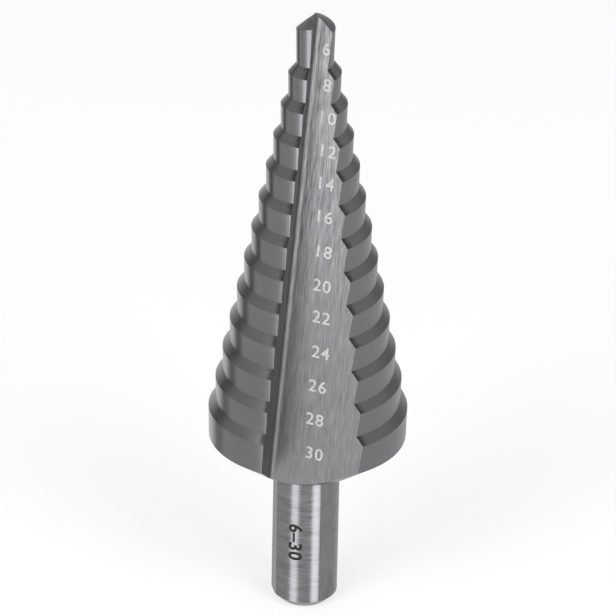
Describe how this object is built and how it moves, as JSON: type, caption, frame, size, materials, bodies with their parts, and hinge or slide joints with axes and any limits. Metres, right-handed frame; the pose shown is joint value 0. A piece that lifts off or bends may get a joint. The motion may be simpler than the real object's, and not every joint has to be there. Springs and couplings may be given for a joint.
{
  "type": "step drill",
  "caption": "Step drill for sheet metal: a cone of relieved, stepped lands with straight flutes, a drill point at its tip and a round shank with chucking flats.",
  "frame": {"origin": "middle of the end face of the shank, on the axis of the drill", "axes": "+Z along the axis from the shank to the point; -Y towards the side where one cutting edge and the wide face of its flute are both seen"},
  "size_m": [0.0298, 0.027, 0.097],
  "materials": {
    "tool_steel": "ground high speed steel: bright, with fine marks round the lands and along the flutes"
  },
  "bodies": {
    "root": {"step_drill": "tool_steel"}
  },
  "joints": []
}
